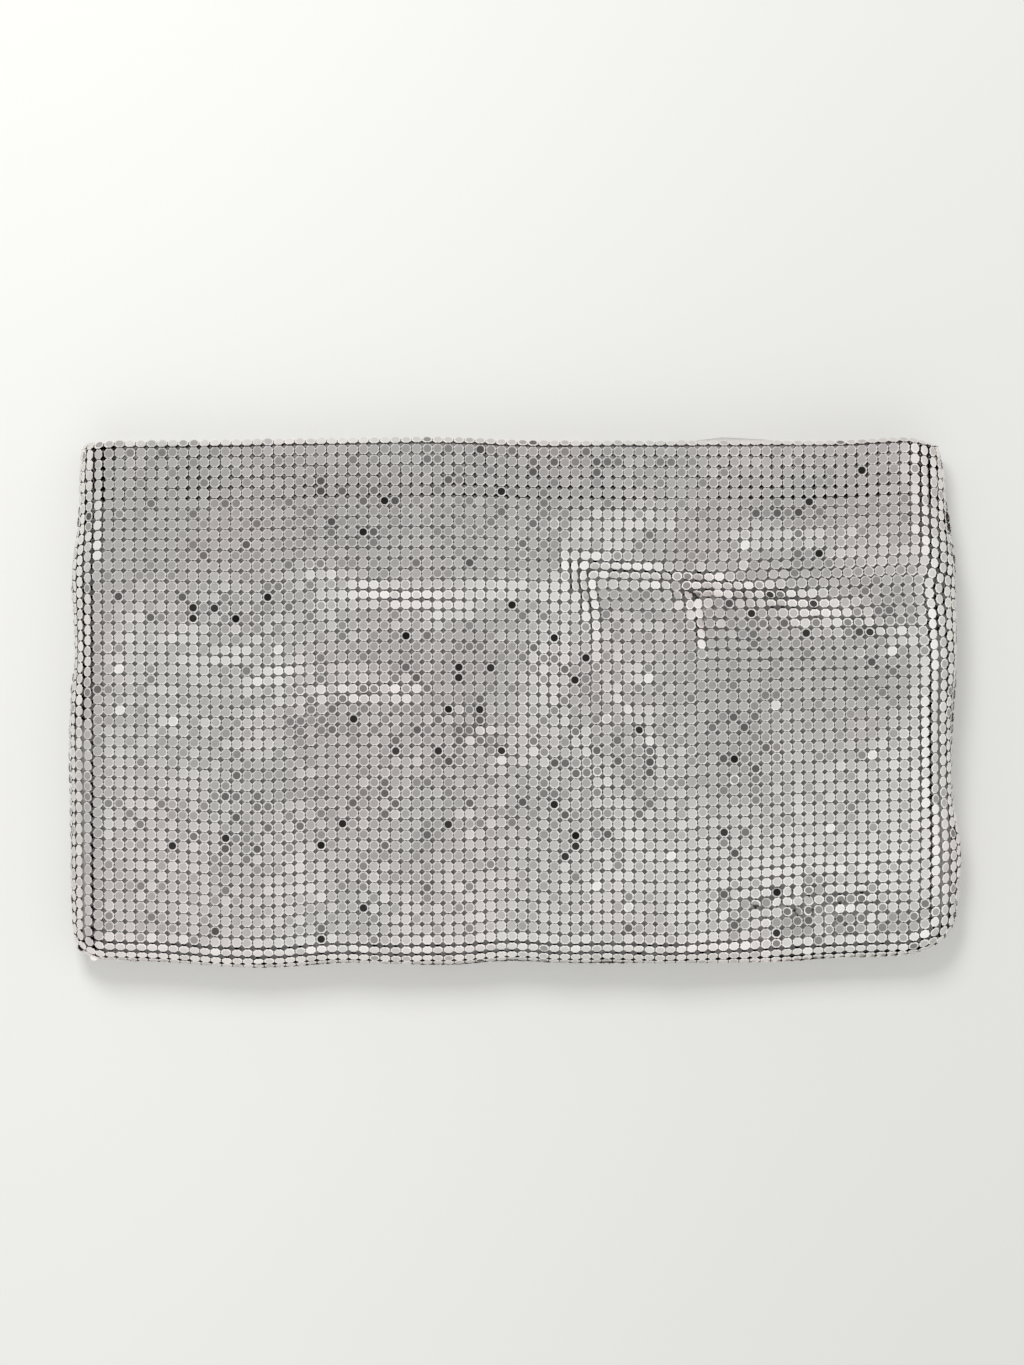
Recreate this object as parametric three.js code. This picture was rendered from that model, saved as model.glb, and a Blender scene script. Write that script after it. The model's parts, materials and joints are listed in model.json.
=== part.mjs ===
// A soft pouch of flat metal mesh with a smooth lining, lying on its back on a table.
// Millimetres. +X runs across the pouch, +Y towards its mouth, +Z up off the table.
// The origin is on the table under the middle of the pouch.
// Two mesh panels meet along the sides and the bottom. Each is turned in at the mouth as a hem, and
// a lining bag hangs inside them. Every layer is the outer face moved inwards by its depth.
import * as THREE from "three";
import { mergeVertices } from "three/addons/utils/BufferGeometryUtils.js";

// The pouch
const bagWidth = 264.5; // side fold to side fold
const bagLength = 155.4; // mouth edge to bottom fold
const bodyThickness = 21; // table to the crown of the front
const mouthThickness = 16.5; // table to the front's mouth edge
const footThickness = 15.5; // table to the front, just before it turns down at the bottom
const leftTurn = 10; // plan width over which the mesh turns down at the left side
const rightTurn = 14;
const bottomTurn = 8;
const seamShare = 0.45; // height of the seam between the panels, as a share of the thickness there

// The layers
const meshWall = 1.4;
const liningWall = 1;
const seamGap = 0.3; // between the panels at their seam
const liningGap = 0.7; // between the mesh and the lining, which hangs loosely in it
const hemDepth = 19; // how far each panel is turned in at the mouth
const hemEdge = 1; // over which the hem's end thins out
const rollOut = 1; // how far the rolled edge of the mesh stands out at the mouth
const liningSet = 1.2; // how far the lining's edge sits inside the mouth edge
const liningPeek = 2; // how far the lining bulges out past the mouth edge at the right

// Stations of the surface: steps in each quarter turn and in the mouth's roll, and spans elsewhere.
// The front is divided more finely than the flat back and the lining.
const turnSteps = 4;
const rollSteps = 4;
const hemSpans = 2;
const plainSpans = { across: 18, down: 11 };
const frontSpans = { across: 36, down: 22 };

// How the outline strays from a straight box. "at" is the share of the way along that side, from the
// left or from the mouth, and "out" is how far it stands out, as a share of the pouch's width.
const leftOutline = [
  { at: 0, out: -0.013 },
  { at: 0.05, out: -0.0085 },
  { at: 0.12, out: -0.0085 },
  { at: 0.25, out: -0.001 },
  { at: 0.4, out: -0.004 },
  { at: 0.52, out: 0.0015 },
  { at: 0.75, out: 0.0015 },
  { at: 1, out: -0.002 },
];
const rightOutline = [
  { at: 0, out: -0.02 },
  { at: 0.1, out: -0.011 },
  { at: 0.24, out: -0.001 },
  { at: 0.42, out: -0.0005 },
  { at: 0.56, out: -0.005 },
  { at: 0.68, out: -0.005 },
  { at: 0.81, out: 0.005 },
  { at: 0.88, out: 0.003 },
  { at: 1, out: -0.006 },
];
const mouthOutline = [
  { at: 0, out: -0.007 },
  { at: 0.05, out: -0.004 },
  { at: 0.42, out: 0 },
  { at: 0.54, out: -0.004 },
  { at: 0.86, out: -0.004 },
  { at: 0.97, out: 0 },
  { at: 1, out: -0.005 },
];
const bottomOutline = [
  { at: 0, out: -0.004 },
  { at: 0.06, out: -0.002 },
  { at: 0.22, out: 0.006 },
  { at: 0.32, out: 0 },
  { at: 0.42, out: 0.003 },
  { at: 0.5, out: -0.002 },
  { at: 0.58, out: 0.001 },
  { at: 0.78, out: 0 },
  { at: 0.93, out: -0.007 },
  { at: 1, out: -0.014 },
];

// Folds in the front. A fold is a line along which the mesh steps down on one side. Its points are
// shares of the width from the left and of the length from the mouth, each with the drop there as a
// share of the body's thickness. "turn" is the width of the step and "reach" how far the dip runs on
// before it comes back up, both as shares of the length. "low" is 1 where the low side lies to the
// right of someone walking along the line, and -1 where it lies to the left.
const folds = [
  {
    name: "shoulder across the right",
    low: 1,
    turn: 0.06,
    reach: 0.3,
    line: [
      { across: 0.42, down: 0.14, drop: 0 },
      { across: 0.57, down: 0.15, drop: 0.1 },
      { across: 0.76, down: 0.165, drop: 0.15 },
      { across: 0.92, down: 0.2, drop: 0.13 },
      { across: 0.99, down: 0.24, drop: 0 },
    ],
  },
  {
    name: "dent, upper edge",
    low: 1,
    turn: 0.06,
    reach: 0.3,
    line: [
      { across: 0.55, down: 0.2, drop: 0 },
      { across: 0.6, down: 0.225, drop: 0.24 },
      { across: 0.7, down: 0.27, drop: 0.3 },
      { across: 0.8, down: 0.3, drop: 0.22 },
      { across: 0.95, down: 0.36, drop: 0 },
    ],
  },
  {
    name: "dent, left edge",
    low: -1,
    turn: 0.06,
    reach: 0.26,
    line: [
      { across: 0.55, down: 0.19, drop: 0 },
      { across: 0.575, down: 0.27, drop: 0.22 },
      { across: 0.6, down: 0.4, drop: 0.2 },
      { across: 0.665, down: 0.62, drop: 0.14 },
      { across: 0.71, down: 0.8, drop: 0 },
    ],
  },
  {
    name: "small pleat in the dent",
    low: -1,
    turn: 0.04,
    reach: 0.14,
    line: [
      { across: 0.683, down: 0.235, drop: 0 },
      { across: 0.695, down: 0.29, drop: 0.36 },
      { across: 0.708, down: 0.37, drop: 0.2 },
      { across: 0.715, down: 0.47, drop: 0 },
    ],
  },
  {
    name: "drape beside the dent",
    low: -1,
    turn: 0.05,
    reach: 0.16,
    line: [
      { across: 0.5, down: 0.38, drop: 0 },
      { across: 0.54, down: 0.5, drop: 0.12 },
      { across: 0.6, down: 0.66, drop: 0.12 },
      { across: 0.66, down: 0.82, drop: 0 },
    ],
  },
  {
    name: "upper drape on the left",
    low: 1,
    turn: 0.07,
    reach: 0.22,
    line: [
      { across: 0.05, down: 0.3, drop: 0 },
      { across: 0.16, down: 0.38, drop: 0.14 },
      { across: 0.26, down: 0.45, drop: 0.2 },
      { across: 0.4, down: 0.47, drop: 0.18 },
      { across: 0.5, down: 0.58, drop: 0.14 },
      { across: 0.56, down: 0.72, drop: 0 },
    ],
  },
  {
    name: "short drape above it",
    low: 1,
    turn: 0.06,
    reach: 0.18,
    line: [
      { across: 0.22, down: 0.23, drop: 0 },
      { across: 0.32, down: 0.28, drop: 0.12 },
      { across: 0.44, down: 0.32, drop: 0.14 },
      { across: 0.52, down: 0.38, drop: 0 },
    ],
  },
  {
    name: "lower drape on the left",
    low: -1,
    turn: 0.09,
    reach: 0.3,
    line: [
      { across: 0.03, down: 0.5, drop: 0 },
      { across: 0.15, down: 0.6, drop: 0.12 },
      { across: 0.27, down: 0.7, drop: 0.14 },
      { across: 0.38, down: 0.86, drop: 0 },
    ],
  },
  {
    name: "slope above the bottom right corner",
    low: 1,
    turn: 0.09,
    reach: 0.3,
    line: [
      { across: 0.66, down: 0.88, drop: 0 },
      { across: 0.78, down: 0.83, drop: 0.12 },
      { across: 0.92, down: 0.82, drop: 0.12 },
      { across: 0.99, down: 0.82, drop: 0 },
    ],
  },
];
const foldLead = 0.25; // how much of a fold's turn lies before its line
const foldBlend = 3; // higher keeps crossing folds apart, lower adds them up

// Where the lining bulges past the mouth edge, as shares of the width from the left
const peekFrom = 0.655;
const peekTo = 0.85;

// Where the thickness changes, as shares of the length from the mouth
const swellsBy = 0.26;
const thinsFrom = 0.5;

const meshSilver = { color: 0xb9b6b2, roughness: 0.22, metalness: 1 };
const liningGrey = { color: 0x8f8c8a, roughness: 0.55, metalness: 0 };

const smooth = (from, to, x) => THREE.MathUtils.smoothstep(x, from, to);
const mix = THREE.MathUtils.lerp;

// How far an outline stands out at a share of the way along it, in millimetres.
function outAt(outline, at) {
  const next = Math.max(
    1,
    outline.findIndex((point) => point.at >= at),
  );
  const before = outline[next - 1];
  const after = outline[next];
  return bagWidth * mix(before.out, after.out, smooth(before.at, after.at, at));
}

// How far the front dips at a place, from all the folds together.
function dipAt(x, y) {
  const place = new THREE.Vector2(x, y);
  let sum = 0;
  for (const fold of folds) sum += foldDip(fold, place) ** foldBlend;
  return sum ** (1 / foldBlend);
}

function foldDip(fold, place) {
  const points = fold.line.map((point) => ({
    at: new THREE.Vector2((point.across - 0.5) * bagWidth, (0.5 - point.down) * bagLength),
    drop: point.drop * bodyThickness,
  }));
  let nearest = { distance: Infinity };
  for (let i = 1; i < points.length; i++) {
    const along = points[i].at.clone().sub(points[i - 1].at);
    const offset = place.clone().sub(points[i - 1].at);
    const share = THREE.MathUtils.clamp(offset.dot(along) / along.lengthSq(), 0, 1);
    const distance = offset.clone().addScaledVector(along, -share).length();
    if (distance >= nearest.distance) continue;
    const toTheRight = along.y * offset.x - along.x * offset.y;
    nearest = {
      distance,
      inside: Math.sign(toTheRight) * fold.low * distance,
      drop: mix(points[i - 1].drop, points[i].drop, share),
    };
  }
  const step = smooth(-foldLead, 1 - foldLead, nearest.inside / (fold.turn * bagLength));
  const past = Math.max(nearest.inside, 0) / (fold.reach * bagLength);
  return nearest.drop * step * Math.exp(-(past ** 2));
}

function thicknessAt(down) {
  const swell = smooth(0, swellsBy, down);
  const thin = smooth(thinsFrom, 1, down);
  return mix(mix(mouthThickness, bodyThickness, swell), footThickness, thin);
}

// The stations across the pouch and down it. "round" is 1 at the seam and 0 where the turn ends.
function stations(size, startTurn, endTurn, spans) {
  const made = [];
  const quarter = Math.PI / 2;
  const steps = (turn) => (turn > 0 ? turnSteps : 0);
  for (let i = 0; i < steps(startTurn); i++)
    made.push({ end: -1, turn: startTurn, round: Math.cos((quarter * i) / turnSteps) });
  for (let i = 0; i <= spans; i++)
    made.push({ end: 0, place: mix(startTurn, size - endTurn, i / spans), round: 0 });
  for (let i = steps(endTurn) - 1; i >= 0; i--)
    made.push({ end: 1, turn: endTurn, round: Math.cos((quarter * i) / turnSteps) });
  return made;
}

// The dip that a loose layer can follow: the deepest within half a plain span on either side.
function looseDipAt(x, y) {
  const stepX = bagWidth / plainSpans.across / 2;
  const stepY = bagLength / plainSpans.down / 2;
  const dips = [];
  for (const i of [-1, 0, 1])
    for (const j of [-1, 0, 1]) dips.push(dipAt(x + i * stepX, y + j * stepY));
  return Math.max(...dips);
}

// One point of the outer face, and the direction in which the layers are stacked behind it.
// "face" is 1 for the front panel and -1 for the back.
function outerPoint(column, row, face, dip) {
  const a = column.round * Math.sqrt(1 - row.round ** 2 / 2);
  const b = row.round * Math.sqrt(1 - column.round ** 2 / 2);
  let x = column.place;
  if (column.end < 0) x = column.turn * (1 - a);
  if (column.end > 0) x = bagWidth - column.turn * (1 - a);
  const y = row.end ? bagLength - row.turn * (1 - b) : row.place;
  const across = x / bagWidth;
  const down = y / bagLength;
  const sideways = mix(-outAt(leftOutline, down), outAt(rightOutline, down), across);
  const lengthways = mix(outAt(mouthOutline, across), -outAt(bottomOutline, across), down);
  const point = new THREE.Vector3(
    x - bagWidth / 2 + sideways,
    bagLength / 2 - y + lengthways,
    0,
  );
  const turned = Math.sqrt(1 - column.round ** 2) * Math.sqrt(1 - row.round ** 2);
  const thickness = thicknessAt(down);
  const seam = seamShare * thickness;
  const flat = face > 0 ? thickness - dip(point.x, point.y) : 0;
  point.z = mix(seam, flat, turned);
  const atSeam = column.round === 1 || row.round === 1;
  const outwards = new THREE.Vector3(
    column.end ? (column.end * a) / column.turn : 0,
    row.end ? -b / row.turn : 0,
    0,
  );
  return { point, atSeam, outwards };
}

// The outer face of a panel as a grid of points, each with its unit normal.
function panelGrid(face, spans, dip) {
  const columns = stations(bagWidth, leftTurn, rightTurn, spans.across);
  const hemRows = stations(hemDepth, 0, 0, hemSpans);
  const hemEnd = hemDepth + hemEdge;
  const bodyRows = stations(bagLength - hemEnd, 0, bottomTurn, spans.down);
  for (const row of bodyRows) if (!row.end) row.place += hemEnd;
  const rows = [...hemRows, ...bodyRows];
  const grid = rows.map((row) => columns.map((column) => outerPoint(column, row, face, dip)));
  grid.forEach((line, j) =>
    line.forEach((node, i) => {
      const left = line[Math.max(i - 1, 0)].point;
      const right = line[Math.min(i + 1, line.length - 1)].point;
      const above = grid[Math.max(j - 1, 0)][i].point;
      const below = grid[Math.min(j + 1, grid.length - 1)][i].point;
      node.normal = right.clone().sub(left).cross(above.clone().sub(below));
      node.normal.multiplyScalar(face);
      if (node.atSeam) node.normal.copy(node.outwards);
      if (j === 0) node.normal.y = 0;
      node.normal.normalize();
    }),
  );
  return grid;
}

// The grid moved inwards, by a depth that depends on the row's number.
function layer(grid, depthOf) {
  return grid.map((line, j) =>
    line.map((node) => node.point.clone().addScaledVector(node.normal, -depthOf(j))),
  );
}

// How deep the mesh and the lining's outer skin lie: the mesh lies double at the hem.
const meshDepth = (j) => (j <= hemSpans ? 2 * meshWall : meshWall);
const liningDepth = (j) => meshDepth(j - 1) + liningGap;

// Adds two triangles for each cell between lines of points that run across the pouch. A cell's
// diagonal runs down and out to the side, so the round corners at the bottom are cut across.
function skin(triangles, lines, flip = false) {
  for (let j = 1; j < lines.length; j++)
    for (let i = 1; i < lines[j].length; i++) {
      const [a, b, c, d] = [lines[j - 1][i - 1], lines[j - 1][i], lines[j][i], lines[j][i - 1]];
      const headsDown = c.y < b.y;
      const leftHalf = i < lines[j].length / 2;
      const cell = headsDown === leftHalf ? [a, d, b, b, d, c] : [a, d, c, a, c, b];
      triangles.push(...(flip ? cell.toReversed() : cell));
    }
}

function solidFrom(triangles) {
  const geometry = new THREE.BufferGeometry().setFromPoints(triangles);
  const merged = mergeVertices(geometry, 1e-4);
  merged.computeVertexNormals();
  return merged;
}

// The panels stop half a gap short of their seam, where the two meet.
function meshLayer(grid, face, depthOf) {
  return layer(grid, depthOf).map((line, j) =>
    line.map((point, i) => {
      if (grid[j][i].atSeam) point.z += (face * seamGap) / 2;
      return point;
    }),
  );
}

// The rounded mouth edge, from the panel's outer face over to its inner one.
function roll(outerEdge, innerEdge) {
  const lines = [];
  for (let k = 1; k < rollSteps; k++) {
    const angle = (Math.PI * k) / rollSteps;
    lines.push(
      outerEdge.map((point, i) => {
        const rolled = point.clone().lerp(innerEdge[i], (1 - Math.cos(angle)) / 2);
        rolled.y += rollOut * Math.sin(angle);
        return rolled;
      }),
    );
  }
  return lines;
}

// A mesh panel: one sheet from the seam at the bottom up to the mouth, where it is turned in and lies
// double. The skin runs from the bottom up the outer face, over the roll and down the inner face.
function meshPanel(grid, face) {
  const outer = meshLayer(grid, face, () => 0);
  const inner = meshLayer(grid, face, meshDepth);
  const rolled = roll(outer[0], inner[0]);
  const triangles = [];
  skin(triangles, [...outer.toReversed(), ...rolled, ...inner, outer.at(-1)], face > 0);
  for (const side of [0, -1]) {
    const flip = face > 0 === side < 0;
    const edges = [outer, inner].map((lines) => lines.map((line) => line.at(side)));
    skin(triangles, edges, flip);
    const mouthCorner = inner[0].at(side);
    const arc = [outer[0], ...rolled].map((line) => line.at(side));
    for (let k = 1; k < arc.length; k++) {
      const triangle = [mouthCorner, arc[k - 1], arc[k]];
      triangles.push(...(flip ? triangle.toReversed() : triangle));
    }
  }
  return solidFrom(triangles);
}

// How far the lining's edge stands past the mouth edge at a place across the pouch.
function liningLip(x) {
  const across = x / bagWidth + 0.5;
  const share = THREE.MathUtils.clamp((across - peekFrom) / (peekTo - peekFrom), 0, 1);
  return mix(-liningSet, liningPeek, Math.sin(Math.PI * share) ** 2);
}

function liningSkin(grid, extra) {
  const points = layer(grid, (j) => liningDepth(j) + extra);
  for (const point of points[0]) point.y += liningLip(point.x);
  return points;
}

// The lining is one bag: the skins of its front and back halves share their points at the seam.
function liningBag() {
  const triangles = [];
  for (const face of [1, -1]) {
    const grid = panelGrid(face, plainSpans, looseDipAt);
    const outer = liningSkin(grid, 0);
    const inner = liningSkin(grid, liningWall);
    skin(triangles, outer, face < 0);
    skin(triangles, inner, face > 0);
    skin(triangles, [inner[0], outer[0]], face < 0);
  }
  return solidFrom(triangles);
}

function piece(name, geometry, finish) {
  const mesh = new THREE.Mesh(geometry, new THREE.MeshStandardMaterial(finish));
  mesh.name = name;
  return mesh;
}

const pouch = new THREE.Group();
const front = panelGrid(1, frontSpans, dipAt);
const back = panelGrid(-1, plainSpans, dipAt);
pouch.add(piece("mesh_front", meshPanel(front, 1), meshSilver));
pouch.add(piece("mesh_back", meshPanel(back, -1), meshSilver));
pouch.add(piece("lining", liningBag(), liningGrey));

// The middle of the outline goes over the origin.
const middle = new THREE.Box3().setFromObject(pouch).getCenter(new THREE.Vector3());
pouch.position.set(-middle.x, -middle.y, 0);

export default pouch;
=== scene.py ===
import json
import math
import bmesh
import bpy
import numpy as np
from mathutils import Matrix, Vector
from mathutils.bvhtree import BVHTree

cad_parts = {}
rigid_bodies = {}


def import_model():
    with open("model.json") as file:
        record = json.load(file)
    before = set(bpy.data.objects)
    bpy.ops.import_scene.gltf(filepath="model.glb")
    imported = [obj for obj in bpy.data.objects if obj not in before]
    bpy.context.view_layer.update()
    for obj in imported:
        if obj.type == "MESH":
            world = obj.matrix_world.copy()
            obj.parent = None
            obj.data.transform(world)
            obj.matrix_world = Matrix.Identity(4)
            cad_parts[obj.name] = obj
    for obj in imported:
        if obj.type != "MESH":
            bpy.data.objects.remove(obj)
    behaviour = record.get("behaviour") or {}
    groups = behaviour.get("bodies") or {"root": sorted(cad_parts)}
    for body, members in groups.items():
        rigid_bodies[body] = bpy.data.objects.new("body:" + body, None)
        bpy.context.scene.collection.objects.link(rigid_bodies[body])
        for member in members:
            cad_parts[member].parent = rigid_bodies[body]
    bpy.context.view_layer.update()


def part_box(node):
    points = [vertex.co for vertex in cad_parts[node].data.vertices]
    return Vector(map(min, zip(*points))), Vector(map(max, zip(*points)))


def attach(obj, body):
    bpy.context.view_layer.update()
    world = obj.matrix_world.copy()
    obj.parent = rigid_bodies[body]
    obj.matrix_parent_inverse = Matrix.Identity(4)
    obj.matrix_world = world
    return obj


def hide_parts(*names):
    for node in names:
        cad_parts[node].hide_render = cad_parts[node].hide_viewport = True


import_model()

# Metal mesh pouch: the CAD panels carry a lattice of small linked plates, and the lining is a thin
# satin bag inside them. Metres, in the CAD's frame: +X across, +Y towards the mouth, +Z up.

mm = 0.001
scene = bpy.context.scene
frontLow, frontHigh = (Vector(corner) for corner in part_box("mesh_front"))
backHigh = Vector(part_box("mesh_back")[1])


# Camera: straight above, as the photo was taken
view = {
    "distance": 1.4,            # above the widest part of the pouch
    "pixelsPerMm": 3.351,       # in the photo
    "photoHeight": 1365,
    "beside": (-1.04 * mm, 6.4 * mm),  # the picture's middle, from the pouch's
}


def addCamera():
    data = bpy.data.cameras.new("topCamera")
    frameHeight = view["photoHeight"] / view["pixelsPerMm"] * mm
    data.lens = data.sensor_width * view["distance"] / frameHeight
    camera = bpy.data.objects.new("topCamera", data)
    camera.location = (*view["beside"], backHigh.z + view["distance"])
    scene.collection.objects.link(camera)
    scene.camera = camera


addCamera()
scene.view_settings.view_transform = "Standard"
print("camera set")


# Nodes: one way to add any node, and shader maths as plain expressions

def fill(socket, value, tree):
    if isinstance(value, Term):
        value = value.socket
    if isinstance(value, bpy.types.NodeSocket):
        tree.links.new(value, socket)
    else:
        socket.default_value = value


class Term:
    def __init__(self, tree, socket):
        self.tree = tree
        self.socket = socket

    def maths(self, operation, *terms):
        return Trees(self.tree).add("ShaderNodeMath", {"operation": operation}, dict(enumerate(terms)))

    def __add__(self, other):
        return self.maths("ADD", self, other)

    def __rsub__(self, other):
        return self.maths("SUBTRACT", other, self)

    def __mul__(self, other):
        return self.maths("MULTIPLY", self, other)

    __radd__ = __add__
    __rmul__ = __mul__

    def smooth(self, low, high):
        return Trees(self.tree).add("ShaderNodeMapRange", {"interpolation_type": "SMOOTHSTEP"}, {
            "Value": self, "From Min": low, "From Max": high,
        }, out="Result")


def setStops(stops, wanted):
    # each stop is (place, grey level)
    while len(stops) < len(wanted):
        stops.new(0.5)
    for stop, (place, level) in zip(stops, wanted):
        stop.position = place
        stop.color = (level, level, level, 1)


class Trees:
    def __init__(self, tree):
        self.tree = tree

    # a node by its type, with its settings, then its sockets by name or number
    def add(self, kind, settings=(), sockets=(), out=0):
        node = self.tree.nodes.new(kind)
        for name, value in dict(settings).items():
            if name == "stops":
                setStops(node.color_ramp.elements, value)
            else:
                setattr(node, name, value)
        for name, value in dict(sockets).items():
            fill(node.inputs[name], value, self.tree)
        return Term(self.tree, node.outputs[out]) if node.outputs else None


def newMaterial(name):
    material = bpy.data.materials.new(name)
    material.use_nodes = True
    tree = material.node_tree
    shader = tree.nodes["Principled BSDF"]
    return material, Trees(tree), shader


# Mesh metal: silver plate, each plate with its own tone. Some plates are dark in their flat middle
# only, while their rounded rims keep the plate's tone.
silver = {
    "warm": (0.955, 0.9, 0.88, 1),
    "cool": (0.92, 0.905, 0.872, 1),
    "tintScale": 26,
    "tintBetween": (0.35, 0.65),    # levels of the noise between which warm turns to cool
    "rimWearAndHighlight": 0.13,               # how much duller the flat faces are painted than the worn rims, which also stands in for painted highlight along the rims
    # the colour that some plates' flat middles darken to
    "darkMiddles": (0.022, 0.021, 0.02, 1),
    "patinaScale": 700,
    "patinaFrom": 0.96,         # the tone's share in the darkest patina
    "patinaBy": 0.08,
    "roughness": 0.16,
    "roughnessSpread": 0.1,
    "scratchScale": 900,
    "scratchDepth": 0.003 * mm,
    "scratchStrength": 0.5,
}


def makeSilver():
    material, nodes, shader = newMaterial("meshSilver")
    tone = nodes.add("ShaderNodeAttribute", {"attribute_name": "tone"}, out="Fac")
    dark = nodes.add("ShaderNodeAttribute", {"attribute_name": "dark"}, out="Fac")
    flat = nodes.add("ShaderNodeAttribute", {"attribute_name": "flat"}, out="Fac")
    place = nodes.add("ShaderNodeTexCoord", out="Object")
    tint = nodes.add("ShaderNodeTexNoise", sockets={
        "Vector": place, "Scale": silver["tintScale"], "Detail": 2,
    })
    patina = nodes.add("ShaderNodeTexNoise", sockets={
        "Vector": place, "Scale": silver["patinaScale"], "Detail": 3,
    })
    metal = nodes.add("ShaderNodeMix", {"data_type": "RGBA"}, {
        "Factor": tint.smooth(*silver["tintBetween"]), "A": silver["warm"], "B": silver["cool"],
    }, out=2)
    worn = silver["patinaFrom"] + patina * silver["patinaBy"]
    # the flat faces are painted duller than the rims: worn rims, and painted highlight along them
    toned = nodes.add("ShaderNodeVectorMath", {"operation": "SCALE"}, {
        0: metal, "Scale": tone * worn * (1 - flat * silver["rimWearAndHighlight"]),
    })
    colour = nodes.add("ShaderNodeMix", {"data_type": "RGBA"}, {
        "Factor": dark * flat, "A": toned, "B": silver["darkMiddles"],
    }, out=2)
    fill(shader.inputs["Base Color"], colour, nodes.tree)
    shader.inputs["Metallic"].default_value = 1
    fill(shader.inputs["Roughness"], silver["roughness"] + patina * silver["roughnessSpread"], nodes.tree)
    grain = nodes.add("ShaderNodeTexNoise", sockets={
        "Vector": place, "Scale": silver["scratchScale"], "Detail": 4, "Distortion": 2,
    })
    bump = nodes.add("ShaderNodeBump", sockets={
        "Strength": silver["scratchStrength"], "Distance": silver["scratchDepth"], "Height": grain,
    })
    fill(shader.inputs["Normal"], bump, nodes.tree)
    return material


# Lining: pale grey satin, woven finely, with a soft sheen
satin = {
    "light": (0.5, 0.488, 0.475, 1),
    "shade": (0.42, 0.41, 0.4, 1),
    "cloudScale": 45,
    "roughness": 0.42,
    "roughnessSpread": 0.15,
    "warpScale": 650,
    "weftScale": 325,
    "wander": 1.5,              # how far the threads bend
    "warpShare": 0.7,
    "weftShare": 0.3,
    "threadDepth": 0.05 * mm,
    "threadStrength": 0.25,
    "sheen": 0.3,
}


def makeSatin():
    material, nodes, shader = newMaterial("liningSatin")
    place = nodes.add("ShaderNodeTexCoord", out="Object")
    cloud = nodes.add("ShaderNodeTexNoise", sockets={
        "Vector": place, "Scale": satin["cloudScale"], "Detail": 3,
    })
    colour = nodes.add("ShaderNodeMix", {"data_type": "RGBA"}, {
        "Factor": cloud, "A": satin["shade"], "B": satin["light"],
    }, out=2)
    fill(shader.inputs["Base Color"], colour, nodes.tree)
    fill(shader.inputs["Roughness"], satin["roughness"] + cloud * satin["roughnessSpread"], nodes.tree)
    warp, weft = (
        nodes.add("ShaderNodeTexWave", {"wave_type": "BANDS", "bands_direction": way}, {
            "Vector": place, "Scale": scale, "Distortion": satin["wander"], "Detail": 1,
        }, out="Fac")
        for way, scale in (("X", satin["warpScale"]), ("Y", satin["weftScale"]))
    )
    bump = nodes.add("ShaderNodeBump", sockets={
        "Strength": satin["threadStrength"],
        "Distance": satin["threadDepth"],
        "Height": warp * satin["warpShare"] + weft * satin["weftShare"],
    })
    fill(shader.inputs["Normal"], bump, nodes.tree)
    shader.inputs["Sheen Weight"].default_value = satin["sheen"]
    return material


meshSilver = makeSilver()
liningSatin = makeSatin()
print("materials made")


# The pouch's outer face, read from the CAD panels by rays that come in from all round it

sampling = {
    "across": 260,
    "down": 170,
    "sideCore": 17 * mm,        # rays turn round a core this far in from the sides
    "bottomCore": 12 * mm,
    "coreBelow": 0.6 * mm,      # and this far below the top of the back panel
    "fanShare": 0.09,           # of the samples across, for each side's turn
    "footShare": 0.09,          # of the samples down, for the turn at the bottom
    "reach": 60 * mm,
    "seamTurn": 1.4,            # past this turn a ray may slip between the panels,
    "seamLift": 0.7 * mm,       # so it is tried a little higher and lower too
    "edgeSteps": 24,            # heights at which the mouth edge is looked for
    "edgeStart": 200 * mm,      # from this far out
    "cornerCut": 7.5 * mm,      # the mouth edge is read no nearer than this to the sides
    "blur": 1.6,                # samples over which the facets are smoothed
    "mouthRoll": 1.0 * mm,      # how far the rolled edge stands out at the mouth
}


def cadTree(*names):
    corners, faces = [], []
    for obj in bpy.data.objects:
        if obj.type != "MESH" or obj.name not in names:
            continue
        first = len(corners)
        corners += [vertex.co.copy() for vertex in obj.data.vertices]
        faces += [[first + index for index in polygon.vertices] for polygon in obj.data.polygons]
    return BVHTree.FromPolygons(corners, faces)


def fanned(count, low, high, startShare, endShare):
    # places from low to high, then the angles of the turn at either end
    starts = int(count * startShare)
    ends = int(count * endShare)
    places = [(low, -math.pi / 2 * (1 - k / starts)) for k in range(starts)]
    middle = count - starts - ends
    places += [(low + (high - low) * k / (middle - 1), 0) for k in range(middle)]
    places += [(high, math.pi / 2 * (k + 1) / ends) for k in range(ends)]
    return places


def blurred(grid, sigma):
    reach = int(3 * sigma)
    weights = np.exp(-0.5 * (np.arange(-reach, reach + 1) / sigma) ** 2)
    weights /= weights.sum()
    for axis in (0, 1):
        pads = [(reach, reach) if k == axis else (0, 0) for k in range(3)]
        padded = np.pad(grid, pads, mode="reflect", reflect_type="odd")
        size = grid.shape[axis]
        grid = sum(w * np.take(padded, np.arange(k, k + size), axis) for k, w in enumerate(weights))
    return grid


def mouthEdge(tree, x):
    # the furthest point of the rolled mouth edge at this place across
    best = -1
    for step in range(sampling["edgeSteps"]):
        z = frontHigh.z * step / sampling["edgeSteps"]
        hit = tree.ray_cast(Vector((x, sampling["edgeStart"], z)), Vector((0, -1, 0)))[0]
        if hit and hit.y > best:
            best = hit.y
    return best


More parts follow.
